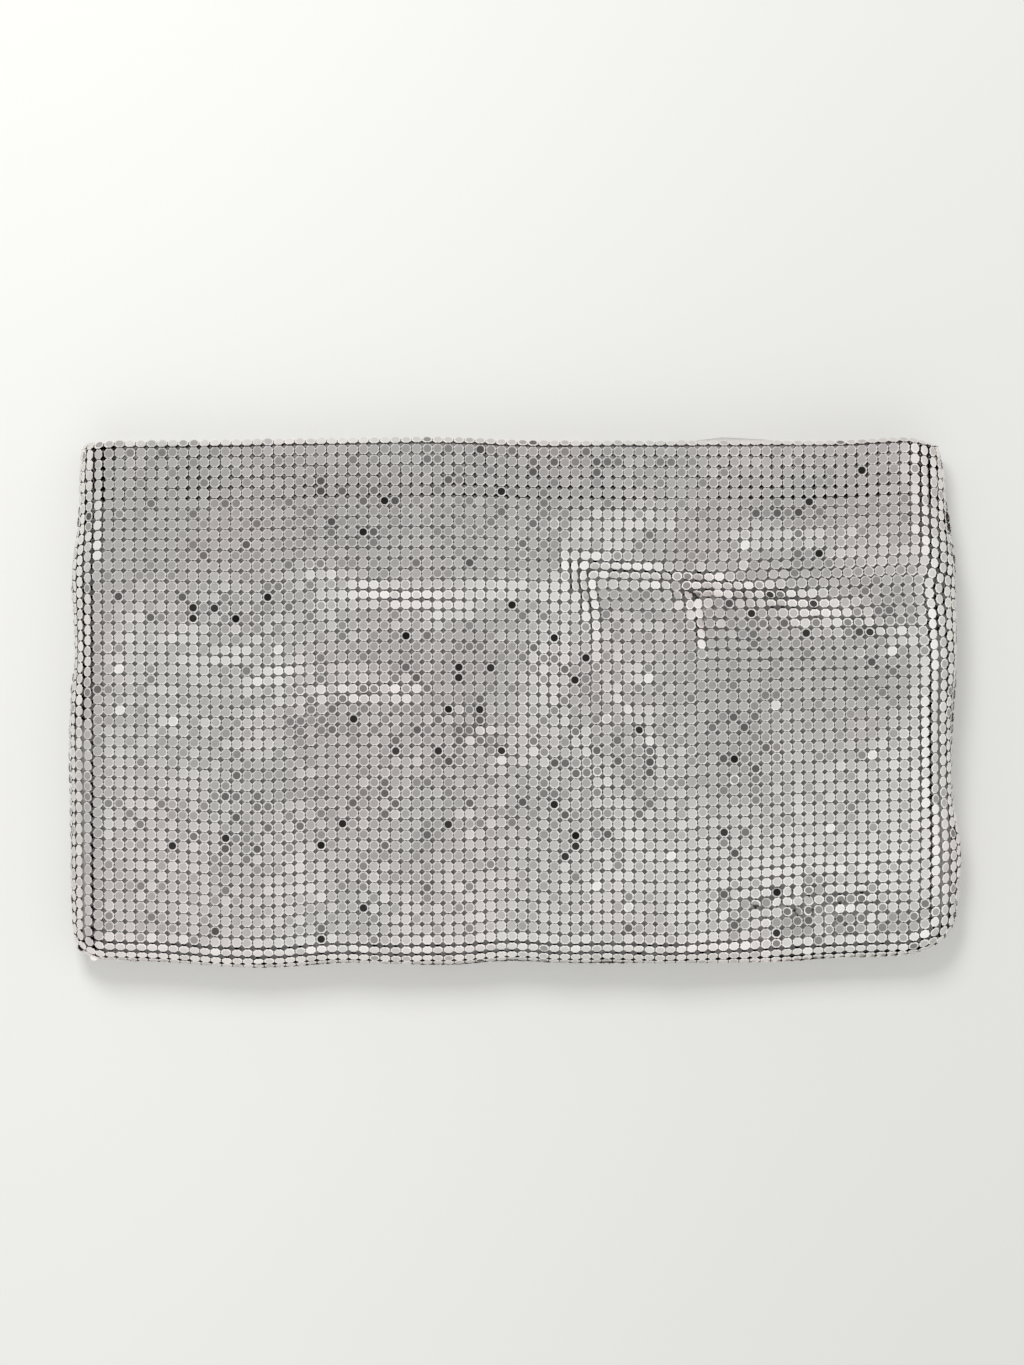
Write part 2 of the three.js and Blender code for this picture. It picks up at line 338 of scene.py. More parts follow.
def sampleFace(side):
    # side 1 is the front, -1 the back
    tree = cadTree("mesh_front", "mesh_back")
    core = backHigh.z - sampling["coreBelow"]
    across = fanned(
        sampling["across"],
        frontLow.x + sampling["sideCore"],
        frontHigh.x - sampling["sideCore"],
        sampling["fanShare"],
        sampling["fanShare"],
    )
    footY = frontLow.y + sampling["bottomCore"]
    rows = sampling["down"]
    feet = int(rows * sampling["footShare"])
    grid = np.zeros((rows, len(across), 3))
    for a, (x, turn) in enumerate(across):
        outX = x + math.sin(turn) * (sampling["sideCore"] - sampling["cornerCut"])
        mouthY = mouthEdge(tree, outX) - sampling["mouthRoll"]
        for b in range(rows):
            drop = math.pi / 2 * max(0, b - (rows - feet) + 1) / feet
            y = mouthY + (footY - mouthY) * min(1, b / (rows - feet - 1))
            direction = Vector((math.sin(turn), -math.sin(drop), side * math.cos(turn) * math.cos(drop)))
            direction.normalize()
            start = Vector((x, y, core)) + direction * sampling["reach"]
            hits = []
            for lift in (0, -sampling["seamLift"], sampling["seamLift"]):
                hit = tree.ray_cast(start + Vector((0, 0, lift)), -direction)[0]
                if hit:
                    hits.append(hit)
                if max(abs(turn), drop) < sampling["seamTurn"]:
                    break
            far = max(hits, key=lambda point: (point - Vector((x, y, core))).dot(direction))
            grid[b, a] = far
    return blurred(grid, sampling["blur"])


# Soft waves that the CAD's facets are too coarse for
waves = {"count": 14, "seed": 5, "shortest": 15 * mm, "longest": 48 * mm, "height": 0.2 * mm}


def waveAt(points):
    draws = np.random.default_rng(waves["seed"])
    total = np.zeros(points.shape[:-1])
    for _ in range(waves["count"]):
        length = draws.uniform(waves["shortest"], waves["longest"])
        angle = draws.uniform(0, math.pi)
        phase = draws.uniform(0, 2 * math.pi)
        along = points[..., 0] * math.cos(angle) + points[..., 1] * math.sin(angle)
        total += np.sin(along * 2 * math.pi / length + phase) * length / waves["longest"]
    return total * waves["height"] / math.sqrt(waves["count"] / 2)


# Sharp folds in the front, where the mesh steps down over a few plates and the CAD's facets only lead
# up to it. Places are shares of the width from the left and of the length from the mouth, and "low"
# is 1 where the low side lies to the right of someone walking along the line, and -1 to the left.
creases = [
    {
        "name": "step across the dent",
        "low": 1,
        "drop": 4 * mm,
        "turn": 10 * mm,
        "line": [(0.555, 0.215, 0), (0.58, 0.245, 0.9), (0.646, 0.25, 1), (0.702, 0.275, 1.1),
                 (0.769, 0.285, 1.2), (0.813, 0.295, 1.2), (0.869, 0.325, 0.9), (0.96, 0.39, 0)],
    },
    {
        "name": "left edge of the dent",
        "low": -1,
        "drop": 2.6 * mm,
        "turn": 7 * mm,
        "line": [(0.552, 0.18, 0), (0.562, 0.235, 0.9), (0.578, 0.28, 1), (0.585, 0.34, 0.5),
                 (0.59, 0.44, 0.35), (0.64, 0.55, 0.6), (0.7, 0.76, 0)],
    },
    {
        "name": "pleat in the dent",
        "low": -1,
        "drop": 2.8 * mm,
        "turn": 5 * mm,
        "line": [(0.678, 0.245, 0), (0.688, 0.275, 1), (0.7, 0.32, 1), (0.708, 0.37, 0.7),
                 (0.718, 0.46, 0)],
    },
    {
        "name": "slope right of the pleat",
        "low": 1,
        "drop": 3.8 * mm,
        "turn": 16 * mm,
        "line": [(0.68, 0.3, 0), (0.76, 0.325, 0.9), (0.84, 0.36, 1), (0.91, 0.385, 1), (0.985, 0.4, 0)],
    },
    {
        "name": "short drape above the middle",
        "low": 1,
        "drop": 1.8 * mm,
        "turn": 10 * mm,
        "line": [(0.22, 0.225, 0), (0.29, 0.25, 0.8), (0.37, 0.295, 1), (0.44, 0.3, 1), (0.5, 0.28, 1),
                 (0.55, 0.295, 0.8), (0.59, 0.31, 0)],
    },
    {
        "name": "shoulder",
        "low": 1,
        "drop": 1.3 * mm,
        "turn": 9 * mm,
        "line": [(0.6, 0.14, 0), (0.72, 0.15, 0.4), (0.86, 0.165, 1), (0.97, 0.2, 0)],
    },
    {
        "name": "upper drape on the left",
        "low": 1,
        "drop": 0.6 * mm,
        "turn": 9 * mm,
        "line": [(0.08, 0.31, 0), (0.17, 0.375, 1), (0.26, 0.44, 1), (0.4, 0.455, 0.9), (0.5, 0.56, 0.6),
                 (0.56, 0.66, 0)],
    },
    {
        "name": "lower drape on the left",
        "low": -1,
        "drop": 0.8 * mm,
        "turn": 9 * mm,
        "line": [(0.05, 0.51, 0), (0.13, 0.57, 1), (0.24, 0.65, 1), (0.36, 0.8, 0)],
    },
    {
        "name": "drape beside the dent",
        "low": -1,
        "drop": 1 * mm,
        "turn": 8 * mm,
        "line": [(0.52, 0.45, 0), (0.56, 0.55, 1), (0.61, 0.68, 1), (0.66, 0.8, 0)],
    },
    {
        "name": "slope above the bottom right corner",
        "low": 1,
        "drop": -1.1 * mm,
        "turn": 9 * mm,
        "line": [(0.7, 0.87, 0), (0.8, 0.845, 1), (0.92, 0.83, 1), (0.985, 0.84, 0)],
    },
]


leadUp = 3      # how many times further than its turn the mesh leads up to a crease


def ease(x):
    x = np.clip(x, 0, 1)
    return x * x * (3 - 2 * x)


def creaseAt(points):
    # each crease lifts the mesh on its high side and lowers it on the other
    size = frontHigh - frontLow
    total = np.zeros(points.shape[:-1])
    for crease in creases:
        corners = np.array([
            (frontLow.x + across * size.x, frontHigh.y - down * size.y)
            for across, down, _ in crease["line"]
        ])
        shares = [share for _, _, share in crease["line"]]
        nearest = np.full(total.shape, np.inf)
        inside = np.zeros(total.shape)
        strength = np.zeros(total.shape)
        for k in range(len(corners) - 1):
            along = corners[k + 1] - corners[k]
            offset = points[..., :2] - corners[k]
            share = np.clip((offset @ along) / (along @ along), 0, 1)
            away = np.linalg.norm(offset - share[..., None] * along, axis=-1)
            side = np.sign(along[1] * offset[..., 0] - along[0] * offset[..., 1]) * crease["low"]
            closer = away < nearest
            nearest = np.where(closer, away, nearest)
            inside = np.where(closer, side * away, inside)
            strength = np.where(closer, shares[k] + (shares[k + 1] - shares[k]) * share, strength)
        narrow = ease(inside / crease["turn"] + 0.5)
        broad = ease(inside / crease["turn"] / leadUp + 0.5)
        total += strength * crease["drop"] * (broad - narrow)
    return total


def normalsOf(grid, side):
    alongX = np.gradient(grid, axis=1)
    alongY = -np.gradient(grid, axis=0)
    normals = np.cross(alongX, alongY) * side
    return normals / np.linalg.norm(normals, axis=2, keepdims=True)


outerFaces = {}
for side in (1, -1):
    grid = sampleFace(side)
    normals = normalsOf(grid, side)
    if side > 0:
        grid = grid + normals * (waveAt(grid) + creaseAt(grid))[..., None]
        normals = normalsOf(grid, side)
    outerFaces[side] = np.concatenate([grid, normals], axis=2)
print("outer face sampled")


# The lattice: the mesh is a tube of rows that run right round the pouch, so one lattice has them all.
# Its columns start from the middle of the back, pass the left side, the front and the right side, and
# end at the middle of the back again.

lattice = {
    "pitch": 3.15 * mm,
    "hinge": 0.5 * mm,          # the plates turn on links this far behind their faces
    "keptTo": 152 * mm,         # columns are a pitch apart this far round from the front's middle
    "hemRows": 6,
    "hemDepth": 2.4 * mm,       # the hem's plates lie this far behind the outer face
    "rollLength": 3.8 * mm,     # round the mouth edge from the outer face to the hem's
    "clear": 0.28 * mm,         # least height of a plate above the table
    "firstRowLeft": 2.3 * mm,   # from the mouth edge to the middle of the first row
    "firstRowRight": 1.7 * mm,
}


def resample(lines, distances):
    # lines is (line, point, values): each line is read at its own distances along it
    read = np.zeros((lines.shape[0], distances.shape[1], lines.shape[2]))
    for k, line in enumerate(lines):
        steps = np.linalg.norm(np.diff(line[:, :3], axis=0), axis=1)
        travelled = np.concatenate([[0], np.cumsum(steps)])
        for value in range(line.shape[1]):
            read[k, :, value] = np.interp(distances[k], travelled, line[:, value])
    return read


def lengths(lines):
    return np.linalg.norm(np.diff(lines[..., :3], axis=1), axis=2).sum(axis=1)


def halfColumns(half):
    # columns from the front's middle to the back's: only the ones behind are spaced to fit
    pitch, kept = lattice["pitch"], lattice["keptTo"]
    reach = lengths(half)
    count = int(round(np.mean(reach) / pitch))
    wanted = (np.arange(count) + 0.5) * pitch
    stretch = (reach - kept) / (count * pitch - kept)
    distances = np.where(wanted <= kept, wanted, kept + (wanted - kept) * stretch[:, None])
    return resample(half, distances)


def layLattice():
    front, back = (outerFaces[side].copy() for side in (1, -1))
    for grid in (front, back):
        grid[..., :3] -= grid[..., 3:] * lattice["hinge"]
    middle = front.shape[1] // 2
    right = np.concatenate([front[:, middle:], back[:, :middle - 1:-1]], axis=1)
    left = np.concatenate([front[:, middle::-1], back[:, :middle + 1]], axis=1)
    right, left = halfColumns(right), halfColumns(left)
    columns = np.concatenate([left[:, ::-1], right], axis=1).transpose(1, 0, 2)
    normals = columns[..., 3:]
    normals /= np.linalg.norm(normals, axis=2, keepdims=True)
    pitch = lattice["pitch"]
    reach = lengths(columns)
    across = np.clip((columns[:, 0, 0] - frontLow.x) / (frontHigh.x - frontLow.x), 0, 1)
    first = lattice["firstRowLeft"] + (lattice["firstRowRight"] - lattice["firstRowLeft"]) * across
    rows = int(round(np.median(reach - first - pitch / 2) / pitch)) + 1
    spacing = (reach - first - pitch / 2) / (rows - 1)
    numbers = np.arange(-1 - lattice["hemRows"], rows)
    distances = first[:, None] + spacing[:, None] * numbers
    body = resample(columns, np.maximum(distances, 0))
    behind = resample(columns, np.maximum(-distances - lattice["rollLength"], 0))
    edge = resample(columns, np.zeros_like(distances))
    angle = np.clip(-distances / lattice["rollLength"], 0, 1) * math.pi
    up, out = edge[..., 3:], np.array([0, 1, 0])
    half = lattice["hemDepth"] / 2
    turned = up * np.cos(angle)[..., None] + out * np.sin(angle)[..., None]
    rolled = edge[..., :3] - up * half + up * half * np.cos(angle)[..., None]
    rolled = rolled + out * (np.sin(angle) * (sampling["mouthRoll"] - lattice["hinge"]))[..., None]
    hem = behind[..., :3] - behind[..., 3:] * lattice["hemDepth"]
    onBody = (distances >= 0)[..., None]
    onHem = (distances < -lattice["rollLength"])[..., None]
    places = np.where(onBody, body[..., :3], np.where(onHem, hem, rolled))
    facing = np.where(onBody, body[..., 3:], np.where(onHem, -behind[..., 3:], turned))
    places = places + facing * lattice["hinge"]
    # nothing dips into the table
    dip = lattice["clear"] + pitch / 2 * np.linalg.norm(facing[..., :2], axis=-1)
    places[..., 2] = np.maximum(places[..., 2], dip)
    # the hem's plates lie half a pitch along from the ones before them
    onHem = onHem[..., 0]
    halfway = (places + np.roll(places, -1, axis=0)) / 2
    places = np.where(onHem[..., None], halfway, places)
    # from (column, row) to (row, column)
    return places.transpose(1, 0, 2), facing.transpose(1, 0, 2), numbers, len(left[0])


# Plates: flat octagons with rounded rims, notched where a link passes to the next plate

plate = {
    "flat": 0.365,              # reach of the round flat middle, of the pitch
    "rimSide": 0.405,           # where the rim starts to drop, towards the sides
    "rimDiagonal": 0.428,       # and towards the corners
    "rimDrop": 0.004,
    "side": 0.478,              # reach of the four long sides
    "diagonal": 0.477,          # reach of the four cut corners
    "edgeDrop": 0.036,          # at the corners
    "sideDrop": 0.02,           # at the notch
    "notch": 0.15,              # the notch in the middle of each side, through which a link is seen
    "notchHalf": 0.11,
    "foot": 0.42,
    "thick": 0.1,
    "tilt": math.radians(2.8),
    "twist": 0.3,               # how much of the tilt turns a plate in its own plane
    "plainTilt": 0.3,           # share of the tilt that the hem's and the back's plates have
    "shingle": 0.75,            # how much more than the mesh each plate leans where the mesh slopes
    "leanFrom": 0.1,            # from this slope on
    "leanOver": 0.25,
    "leanTo": 0.75,             # up to this one
    "leanFade": 0.35,
    "tone": 0.97,
    "toneSpread": 0.03,
    "toneBetween": (0.8, 1.05),
    "brightShare": 0.003,       # plates that lean far enough to catch the brighter side
    "brightLean": (0.12, -0.16, 0),
    # painted highlight: these plates' tone is raised too, on top of their lean
    "caughtHighlightTone": 0.12,
    "hemShade": 0.6,             # the hem's plates turn their backs outward; they are painted darker, as painted shade behind the outer mesh
    "jitter": 0.035 * mm,
    "jitterShape": (1, 1, 0.3),
    "frontColumns": 90,
    "seed": 11,
}
# how many plates have dark flat middles, and how dark
darkMiddles = [
    {"share": 0.32, "low": 0.05, "high": 0.24},
    {"share": 0.055, "low": 0.24, "high": 0.56},
    {"share": 0.008, "low": 0.55, "high": 0.82},
    {"share": 0.0025, "low": 0.93, "high": 1},
]
gatherFrom = 0.5                # levels darker than this gather most
# where dark plates gather: middle and reach, as shares of the width and the length, and how many more
darkClusters = [
    {"across": 0.47, "down": 0.05, "wide": 0.08, "long": 0.05, "more": 24},
    {"across": 0.33, "down": 0.13, "wide": 0.08, "long": 0.06, "more": 18},
    {"across": 0.53, "down": 0.13, "wide": 0.03, "long": 0.06, "more": 18},
    {"across": 0.2, "down": 0.33, "wide": 0.09, "long": 0.04, "more": 9},
    {"across": 0.4, "down": 0.42, "wide": 0.12, "long": 0.04, "more": 12},
    {"across": 0.3, "down": 0.5, "wide": 0.05, "long": 0.05, "more": 24},
    {"across": 0.44, "down": 0.55, "wide": 0.05, "long": 0.06, "more": 26},
    {"across": 0.2, "down": 0.73, "wide": 0.06, "long": 0.06, "more": 16},
    {"across": 0.34, "down": 0.7, "wide": 0.08, "long": 0.08, "more": 18},
    {"across": 0.57, "down": 0.66, "wide": 0.04, "long": 0.09, "more": 34},
    {"across": 0.64, "down": 0.6, "wide": 0.04, "long": 0.04, "more": 26},
    {"across": 0.55, "down": 0.44, "wide": 0.04, "long": 0.08, "more": 20},
    {"across": 0.69, "down": 0.275, "wide": 0.012, "long": 0.02, "more": 90},
    {"across": 0.82, "down": 0.14, "wide": 0.05, "long": 0.03, "more": 20},
    {"across": 0.83, "down": 0.32, "wide": 0.08, "long": 0.06, "more": 22},
    {"across": 0.77, "down": 0.6, "wide": 0.03, "long": 0.1, "more": 14},
    {"across": 0.84, "down": 0.89, "wide": 0.1, "long": 0.04, "more": 36},
]


def octagon(side, diagonal, depth, notch=0.0):
    # corners of a ring at this depth below the plate's face, less deep beside each notch
    corner = diagonal * math.sqrt(2) - side
    quarter = [(side, -corner, depth), (side, corner, depth)]
    if notch:
        half, drop = plate["notchHalf"], plate["sideDrop"]
        quarter[1:1] = [(side, -half, drop), (side - notch, 0, drop), (side, half, drop)]
    points = []
    for turn in range(4):
        spin = Matrix.Rotation(turn * math.pi / 2, 3, "Z")
        points += [spin @ Vector(point) for point in quarter]
    return points


def dodecagon(radius):
    angles = [(k + 0.5) * math.pi / 6 for k in range(12)]
    return [Vector((radius * math.cos(angle), radius * math.sin(angle), 0)) for angle in angles]


def stitch(inner, outer):
    # faces between two rings of (angle, corner), the corners in turn round the middle
    faces = []
    i = j = 0
    inner = sorted(inner)
    outer = sorted(outer)
    while i < len(inner) or j < len(outer):
        here, there = inner[i % len(inner)][1], outer[j % len(outer)][1]
        nextInner = inner[(i + 1) % len(inner)][0] + 2 * math.pi * ((i + 1) // len(inner))
        nextOuter = outer[(j + 1) % len(outer)][0] + 2 * math.pi * ((j + 1) // len(outer))
        if j < len(outer) and (i >= len(inner) or nextOuter <= nextInner):
            j += 1
            faces.append([here, there, outer[j % len(outer)][1]])
        else:
            i += 1
            faces.append([here, there, inner[i % len(inner)][1]])
    return faces


def plateMesh(name, rings):
    # rings from the flat middle out to the edge, then the foot
    pitch = lattice["pitch"]
    corners, numbered = [], []
    for points in rings:
        numbered.append([(math.atan2(p.y, p.x), len(corners) + k) for k, p in enumerate(points)])
        corners += [(p.x * pitch, p.y * pitch, -p.z * pitch) for p in points]
    faces = [[index for _, index in sorted(numbered[0])]]
    for k in range(len(rings) - 2):
        faces += stitch(numbered[k], numbered[k + 1])
    faces += [face[::-1] for face in stitch(numbered[-1], numbered[-2])]
    faces.append([index for _, index in sorted(numbered[-1])][::-1])
    mesh = bpy.data.meshes.new(name)
    mesh.from_pydata(corners, [], faces)
    local = mesh.uv_layers.new(name="local")
    for loop in mesh.loops:
        local.data[loop.index].uv = mesh.vertices[loop.vertex_index].co.xy / pitch
    flat = mesh.attributes.new("flat", "FLOAT", "FACE")
    flat.data.foreach_set("value", [1] + [0] * (len(faces) - 1))
    obj = bpy.data.objects.new(name, mesh)
    scene.collection.objects.link(obj)
    return obj


rim = octagon(plate["rimSide"], plate["rimDiagonal"], plate["rimDrop"])
foot = octagon(plate["foot"], plate["foot"], plate["thick"])
finePlate = plateMesh("finePlate", [
    dodecagon(plate["flat"]),
    rim,
    octagon(plate["side"], plate["diagonal"], plate["edgeDrop"], plate["notch"]),
    foot,
])
plainPlate = plateMesh("plainPlate", [
    rim,
    octagon(plate["side"], plate["diagonal"], plate["edgeDrop"]),
    foot,
])


def addInput(tree, name, kind, default=None):
    socket = tree.interface.new_socket(name=name, in_out="INPUT", socket_type=kind)
    if default is not None:
        socket.default_value = default
    return socket.identifier


def scatterTree():
    # puts one copy of an object at each point, turned by the point's "turn" and a random tilt
    tree = bpy.data.node_groups.new("scatterOnLattice", "GeometryNodeTree")
    tree.interface.new_socket(name="Geometry", in_out="INPUT", socket_type="NodeSocketGeometry")
    ids = {
        "piece": addInput(tree, "Piece", "NodeSocketObject"),
        "tilt": addInput(tree, "Tilt", "NodeSocketFloat", 0.0),
        "seed": addInput(tree, "Seed", "NodeSocketInt", 0),
        "cell": addInput(tree, "Cell size", "NodeSocketVector", (0.01, 0.01, 0)),
        "material": addInput(tree, "Material", "NodeSocketMaterial"),
    }
    tree.interface.new_socket(name="Geometry", in_out="OUTPUT", socket_type="NodeSocketGeometry")
    nodes = Trees(tree)
    given = nodes.add("NodeGroupInput").socket.node.outputs
    info = nodes.add("GeometryNodeObjectInfo", {"transform_space": "ORIGINAL"}, {
        "Object": given["Piece"], "As Instance": True,
    }, out="Geometry")
    turn = nodes.add("GeometryNodeInputNamedAttribute", {"data_type": "FLOAT_VECTOR"}, {"Name": "turn"})
    facing = nodes.add("FunctionNodeEulerToRotation", sockets={0: turn})
    spread = nodes.add("ShaderNodeVectorMath", {"operation": "SCALE"}, {
        0: nodes.add("FunctionNodeRandomValue", {"data_type": "FLOAT_VECTOR"}, {
            "Min": (-1, -1, -plate["twist"]), "Max": (1, 1, plate["twist"]), "Seed": given["Seed"],
        }),
        "Scale": given["Tilt"],
    })
    tilted = nodes.add("FunctionNodeRotateRotation", {"rotation_space": "LOCAL"}, {
        0: facing, 1: nodes.add("FunctionNodeEulerToRotation", sockets={0: spread}),
    })
    width = nodes.add("GeometryNodeInputNamedAttribute", {"data_type": "FLOAT"}, {"Name": "width"})
    size = nodes.add("ShaderNodeCombineXYZ", sockets={0: 1.0, 1: width, 2: 1.0})
    copies = nodes.add("GeometryNodeInstanceOnPoints", sockets={
        "Points": given["Geometry"], "Instance": info, "Rotation": tilted, "Scale": size,
    })
    solid = nodes.add("GeometryNodeRealizeInstances", sockets={"Geometry": copies})
    # every copy has its own cell of the chart
    cell, local = (
        nodes.add("GeometryNodeInputNamedAttribute", {"data_type": "FLOAT_VECTOR"}, {"Name": name})
        for name in ("cell", "local")
    )
    spreadOut = nodes.add("ShaderNodeVectorMath", {"operation": "MULTIPLY_ADD"}, {
        0: local, 1: given["Cell size"], 2: cell,
    })
    charted = nodes.add("GeometryNodeStoreNamedAttribute", {"data_type": "FLOAT2", "domain": "CORNER"}, {
        "Geometry": solid, "Name": "OFBake", "Value": spreadOut,
    })
    painted = nodes.add("GeometryNodeSetMaterial", sockets={
        "Geometry": charted, "Material": given["Material"],
    })
    nodes.add("NodeGroupOutput", sockets={0: painted})
    return tree, ids


scatter, scatterIds = scatterTree()
cellFilled = 0.9                # share of its cell that each copy's chart fills


def turnsOf(along, facing):
    # Euler angles of frames whose Z is the facing and whose X lies along the row
    z = facing / np.linalg.norm(facing, axis=1, keepdims=True)
    x = along - z * (along * z).sum(axis=1, keepdims=True)
    x /= np.linalg.norm(x, axis=1, keepdims=True)
    y = np.cross(z, x)
    turns = np.zeros_like(z)
    for k in range(len(z)):
        turns[k] = Matrix((x[k], y[k], z[k])).transposed().to_euler()
    return turns


def scatterPiece(name, template, places, turns, values, material, tilt, seed):
    guide = bpy.data.meshes.new(name + "Guide")
    guide.from_pydata([tuple(p) for p in places], [], [])
    columns = math.ceil(math.sqrt(len(places)))
    cell = 1 / columns
    numbers = np.arange(len(places))
    cells = np.stack([numbers % columns + 0.5, numbers // columns + 0.5, numbers * 0], axis=1) * cell
    for key, data in {"turn": turns, "cell": cells}.items():
        attribute = guide.attributes.new(key, "FLOAT_VECTOR", "POINT")
        attribute.data.foreach_set("vector", data.astype(np.float32).ravel())
    for key, data in values.items():
        attribute = guide.attributes.new(key, "FLOAT", "POINT")
        attribute.data.foreach_set("value", data.astype(np.float32))
    guideObject = bpy.data.objects.new(name + "Guide", guide)
    scene.collection.objects.link(guideObject)
    modifier = guideObject.modifiers.new("scatter", "NODES")
    modifier.node_group = scatter
    modifier[scatterIds["piece"]] = template
    modifier[scatterIds["tilt"]] = tilt
    modifier[scatterIds["seed"]] = seed
    modifier[scatterIds["cell"]] = (cell * cellFilled, cell * cellFilled, 0)
    modifier[scatterIds["material"]] = material
    made = guideObject.evaluated_get(bpy.context.evaluated_depsgraph_get())
    mesh = bpy.data.meshes.new_from_object(made)
    mesh.name = name
    guideObject.modifiers.remove(modifier)
    bpy.data.objects.remove(guideObject)
    piece = bpy.data.objects.new(name, mesh)
    scene.collection.objects.link(piece)
    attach(piece, "root")
    print(name, len(mesh.polygons), "faces")
    return piece


def nearSpot(places, spot):
    # 1 in the middle of the spot, and less further out
    size = frontHigh - frontLow
    across = (places[:, 0] - frontLow.x) / size.x
    down = (frontHigh.y - places[:, 1]) / size.y
    away = ((across - spot["across"]) / spot["wide"]) ** 2 + ((down - spot["down"]) / spot["long"]) ** 2
    return np.exp(-away)


def tonesAt(places, draws):
    # how bright each plate is, and how dark its flat middle is
    more = np.ones(len(places))
    for spot in darkClusters:
        more = np.maximum(more, 1 + spot["more"] * nearSpot(places, spot))
    tone = np.clip(draws.normal(plate["tone"], plate["toneSpread"], len(places)), *plate["toneBetween"])
    dark = np.zeros(len(places))
    for level in darkMiddles:
        gain = more if level["low"] > gatherFrom else np.sqrt(more)
        chosen = draws.random(len(places)) < level["share"] * gain
        dark = np.where(chosen, draws.uniform(level["low"], level["high"], len(places)), dark)
    return {"tone": tone, "dark": dark}


# where the mesh is crumpled and its plates lean every way: shares of the width and the length
crumples = [
    {"across": 0.84, "down": 0.89, "wide": 0.09, "long": 0.05, "lean": 0.34},
    {"across": 0.8, "down": 0.34, "wide": 0.12, "long": 0.06, "lean": 0.1},
    {"across": 0.25, "down": 0.37, "wide": 0.12, "long": 0.05, "lean": 0.05},
    {"across": 0.76, "down": 0.88, "wide": 0.05, "long": 0.03, "lean": 0.16},
    {"across": 0.692, "down": 0.285, "wide": 0.016, "long": 0.03, "lean": 0.5},
]


def crumpleAt(places):
    total = np.zeros(len(places))
    for spot in crumples:
        total += spot["lean"] * nearSpot(places, spot)
    return total


def leaningOf(facing):
    # how much of the shingle's lean each plate has: most where the mesh slopes but doesn't stand on end
    slope = np.linalg.norm(facing[..., :2], axis=-1)
    growing = ease((slope - plate["leanFrom"]) / plate["leanOver"])
    fading = ease((plate["leanTo"] - slope) / plate["leanFade"])
    return growing * fading * (facing[..., 2] > 0)


draws = np.random.default_rng(plate["seed"])
places, facing, numbers, columnsLeft = layLattice()
along = np.roll(places, -1, axis=1) - np.roll(places, 1, axis=1)
leaning = leaningOf(facing)
frontHalf = plate["frontColumns"] // 2
columnNumbers = np.arange(places.shape[1]) - columnsLeft
isFront = (columnNumbers >= -frontHalf) & (columnNumbers < frontHalf)
isHem = numbers < -1
sideways = np.array([1, 1, 0])
platePieces = []


def layPlates(name, label, inHem, columns, seed):
    rowNumbers = np.where(isHem if inHem else ~isHem)[0]
    rows, cols = (index.ravel() for index in np.meshgrid(rowNumbers, columns, indexing="ij"))
    count = len(rows)
    chosen = places[rows, cols] + draws.normal(0, plate["jitter"], (count, 3)) * plate["jitterShape"]
    caught = draws.random((count, 1)) < plate["brightShare"]
    shingled = leaning[rows, cols][:, None] * plate["shingle"] * sideways
    faced = facing[rows, cols] * (1 + shingled) + caught * plate["brightLean"]
    crumpled = crumpleAt(chosen) * (facing[rows, cols, 2] > 0)
    faced = faced + draws.normal(0, 1, (count, 3)) * sideways * crumpled[:, None]
    turns = turnsOf(along[rows, cols], faced)
    values = tonesAt(chosen, draws)
    # painted highlight on the plates that lean towards the brighter side
    values["tone"] += caught[:, 0] * plate["caughtHighlightTone"]
    # painted shade on the hem's plates, which lie behind the outer mesh
    if inHem:
        values["tone"] *= plate["hemShade"]
    values["width"] = np.ones(count)
    # only the front's own plates are seen clearly, so only they are fine
    fine = label == "front" and not inHem
    shape = finePlate if fine else plainPlate
    tilt = plate["tilt"] if fine else plate["tilt"] * plate["plainTilt"]
    piece = scatterPiece(name, shape, chosen, turns, values, meshSilver, tilt, seed)
    platePieces.append((piece, "mesh_" + label))


for label, parts in (("front", 3), ("back", 2)):
    chosenColumns = np.where(isFront if label == "front" else ~isFront)[0]
    if label == "back":
        chosenColumns = np.roll(chosenColumns, len(chosenColumns) // 2)
    for part, columns in enumerate(np.array_split(chosenColumns, parts)):
        layPlates("plates_" + label + "_" + str(part + 1), label, False, columns, plate["seed"] + part)
    layPlates("hem_plates_" + label, label, True, chosenColumns, plate["seed"] + parts)


# Links: a small bent strap under each gap between two plates, near-black as painted shade in the gaps

link = {
    "length": 0.6,              # of the pitch
    "width": 0.15,
    "thick": 0.06,
    "depth": 0.2,               # below the plates' faces
    "longest": 1.3,             # plates further apart than this have no link between them
    # painted shade: the links are near-black to stand for the shade in the gaps between plates
    "tone": 0.04,
    "wider": 2,                 # how much wider the links look where the mesh falls away, widening the painted shade in the opened gaps
    "widerFrom": 0.08,          # from this fall along the link on
    "widerOver": 0.25,
    "steepFrom": 0.6,           # and less so again where it falls steeply
    "steepOver": 0.25,
    "steepLoss": 0.75,
    "seed": 3,
}


def linkMesh():
    pitch = lattice["pitch"]
    size = Vector((link["length"], link["width"], link["thick"])) * pitch
    corners = [
        (x * size.x / 2, y * size.y / 2, z * size.z / 2 - link["depth"] * pitch)
        for x in (-1, 1) for y, z in ((-1, -1), (1, -1), (1, 1), (-1, 1))
    ]
    faces = [(3, 2, 1, 0), (4, 5, 6, 7), (0, 1, 5, 4), (1, 2, 6, 5), (2, 3, 7, 6), (3, 0, 4, 7)]
    mesh = bpy.data.meshes.new("linkStrap")
    mesh.from_pydata(corners, [], faces)
    local = mesh.uv_layers.new(name="local")
    for loop in mesh.loops:
        local.data[loop.index].uv = mesh.vertices[loop.vertex_index].co.xy / pitch
    obj = bpy.data.objects.new("linkStrap", mesh)
    scene.collection.objects.link(obj)
    return obj


def between(first, second):
    # the middles between plates, the directions out and along, for (places, facing) of each
    middle = (first[0] + second[0]) / 2
    return middle, first[1] + second[1], second[0] - first[0]
